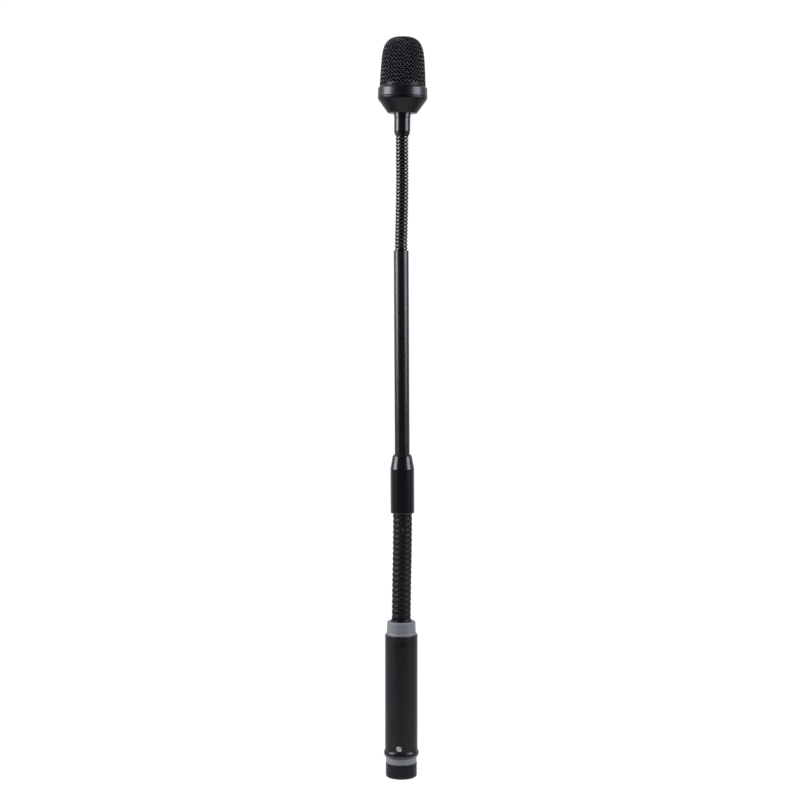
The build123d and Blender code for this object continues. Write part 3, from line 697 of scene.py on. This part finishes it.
def wire_route(family, index, spacing, side_depth):
    """One wire of the weave: where it runs on the sheet, and its height in the weave from -1 to 1."""
    offset = (index + 0.5) * spacing
    edge = 2 - abs(offset)
    step = spacing / samples_per_cell
    reach = math.floor((edge + 2 * side_depth) / step) * step
    run = np.arange(-reach, reach + step / 2, step)
    inside = np.clip(run, -edge, edge)
    beyond = np.abs(run - inside) / 2
    if family == 0:
        x, y = (inside + offset) / 2, (inside - offset) / 2
    else:
        x, y = (inside + offset) / 2, (offset - inside) / 2
    hoop = np.zeros_like(run)
    for way in (-1, 1):
        end = 0 if way < 0 else -1
        turn_y = way if family == 0 else -way
        around, sense = edge_exit(x[end], y[end], way, turn_y)
        chosen = np.sign(run) == way
        hoop[chosen] = around + sense * beyond[chosen]
    sign = (-1) ** (index + 1) if family == 0 else (-1) ** index
    return x, y, hoop, beyond, sign * np.sin(math.pi * run / spacing)


def make_grille():
    """The woven wire dome: each wire passes over and under those it crosses, from rim to rim."""
    dome = Dome(weave_inset, dome_low)
    half_side = dome_foot_radius * math.pi / 4
    spacing = 2 / wires_per_side
    side_depth = dome.length / half_side - 1
    section = np.linspace(0, 2 * math.pi, wire_sides, endpoint=False) + section_turn
    points, faces = [], []
    for family in (0, 1):
        for index in range(-wires_per_side, wires_per_side):
            x, y, hoop, depth, height = wire_route(family, index, spacing, side_depth)
            arcs, angles = sheet_to_dome(dome, x, y, hoop, depth, half_side)
            line, normals = dome.points(arcs, angles + weave_azimuth, height * weave_lift)
            tangents = np.gradient(line, axis=0)
            tangents /= np.linalg.norm(tangents, axis=1, keepdims=True)
            across = np.cross(tangents, normals)
            across /= np.linalg.norm(across, axis=1, keepdims=True)
            lifted = np.cross(across, tangents)
            ring = (
                np.cos(section)[None, :, None] * lifted[:, None, :]
                + np.sin(section)[None, :, None] * across[:, None, :]
            )
            first = sum(len(p) for p in points)
            points.append((line[:, None, :] + wire_radius * ring).reshape(-1, 3))
            faces += tube_faces(len(line), wire_sides, first)
    grille = add_mesh("woven_grille", np.vstack(points), faces, materials["grille_wire"])
    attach(grille, "head")
    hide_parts("grille_mesh")


foam_inset = 1.0 * mm
foam_thickness = 2.0 * mm
foam_rings = 70
foam_sides = 150
pore_depth = 0.16 * mm
pore_scale = 900.0


def make_foam():
    """The foam liner under the weave: a hollow dome with a pitted face.

    Its angles run backwards, so that the faces look outward.
    """
    outer = Dome(foam_inset, foam_low)
    inner = Dome(foam_inset + foam_thickness, foam_low)
    angles = np.linspace(2 * math.pi, 0, foam_sides, endpoint=False)
    rows = []
    for dome, order in ((outer, 1), (inner, -1)):
        arcs = np.linspace(dome.length / foam_rings / 2, dome.length, foam_rings)[::order]
        grid_angles, grid_arcs = np.meshgrid(angles, arcs)
        places, normals = dome.points(grid_arcs, grid_angles)
        if order > 0:
            flat = places.reshape(-1, 3)
            pits = np.array([noise.noise(Vector(p * pore_scale)) for p in flat]).reshape(grid_arcs.shape)
            places -= normals * (pore_depth * np.abs(pits))[..., None]
        rows.append(places)
    points = np.vstack([r.reshape(-1, 3) for r in rows])
    faces = tube_faces(2 * foam_rings, foam_sides)
    liner = add_mesh("foam_dome", points, faces, materials["dark_foam"])
    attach(liner, "head")
    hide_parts("foam_liner")


# ---------------------------------------------------------------- studio
light_distance = 0.9
light_foot = 0.22
light_colour = (0.96, 0.95, 1.08)
# Name, azimuth from the front in degrees, width, height and power of each softbox.
softboxes = (
    ("softbox_left", -77.0, 0.58, 1.1, 20.0),
    ("softbox_right", 71.0, 0.58, 1.1, 15.0),
)
floor_height = -0.16
floor_radius = 0.40
floor_glow = 0.55
floor_sides = 96
world_in_front = 0.03
world_behind = 0.9
world_full_from = 0.9
backdrop = 1.03


def make_softbox(name, azimuth, width, height, power):
    """A large soft light beside the microphone, on a circle around it, facing it."""
    data = bpy.data.lights.new(name, "AREA")
    data.shape = "RECTANGLE"
    data.size = width
    data.size_y = height
    data.energy = power
    data.color = light_colour
    light = bpy.data.objects.new(name, data)
    angle = math.radians(azimuth)
    middle = light_foot + height / 2
    light.location = (light_distance * math.sin(angle), -light_distance * math.cos(angle), middle)
    aim = Vector((0.0, 0.0, middle)) - light.location
    light.rotation_euler = aim.to_track_quat("-Z", "Y").to_euler()
    light.visible_camera = False
    scene.collection.objects.link(light)


def make_floor():
    """A plain pale floor."""
    finish = Finish("pale_floor")
    finish.colour(finish.noise(30.0, 3.0), grey(0.86), grey(0.9))
    finish.roughness(finish.noise(60.0, 2.0), 0.7, 0.85)
    finish.set(Emission_Color=(1.0, 1.0, 1.0, 1.0), Emission_Strength=floor_glow)
    angles = np.linspace(0, 2 * math.pi, floor_sides, endpoint=False)
    points = [(floor_radius * math.cos(a), floor_radius * math.sin(a), floor_height) for a in angles]
    floor = add_mesh("floor", points, [tuple(range(len(points)))], finish.material, smooth=False)


def make_world():
    """White where the camera sees it; for the light on the object, bright behind and dim in front."""
    world = bpy.data.worlds.new("studio")
    world.use_nodes = True
    scene.world = world
    nodes, links = world.node_tree.nodes, world.node_tree.links
    nodes.clear()
    place = nodes.new("ShaderNodeTexCoord").outputs["Generated"]
    split = nodes.new("ShaderNodeSeparateXYZ")
    links.new(place, split.inputs[0])
    shade = nodes.new("ShaderNodeMapRange")
    shade.inputs["From Min"].default_value = 0.0
    shade.inputs["From Max"].default_value = world_full_from
    shade.inputs["To Min"].default_value = world_in_front
    shade.inputs["To Max"].default_value = world_behind
    links.new(split.outputs["Y"], shade.inputs["Value"])
    lit = nodes.new("ShaderNodeBackground")
    links.new(shade.outputs["Result"], lit.inputs["Strength"])
    seen = nodes.new("ShaderNodeBackground")
    seen.inputs["Strength"].default_value = backdrop
    for background in (lit, seen):
        background.inputs["Color"].default_value = (1.0, 1.0, 1.0, 1.0)
    path = nodes.new("ShaderNodeLightPath")
    mix = nodes.new("ShaderNodeMixShader")
    links.new(path.outputs["Is Camera Ray"], mix.inputs[0])
    links.new(lit.outputs[0], mix.inputs[1])
    links.new(seen.outputs[0], mix.inputs[2])
    output = nodes.new("ShaderNodeOutputWorld")
    links.new(mix.outputs[0], output.inputs["Surface"])


scene.view_settings.view_transform = "Standard"
scene.view_settings.look = "None"

dress_cad_nodes()
for spec in necks:
    make_neck(spec)
make_rigid_leads()
make_grille()
make_foam()
for softbox in softboxes:
    make_softbox(*softbox)
make_floor()
make_world()
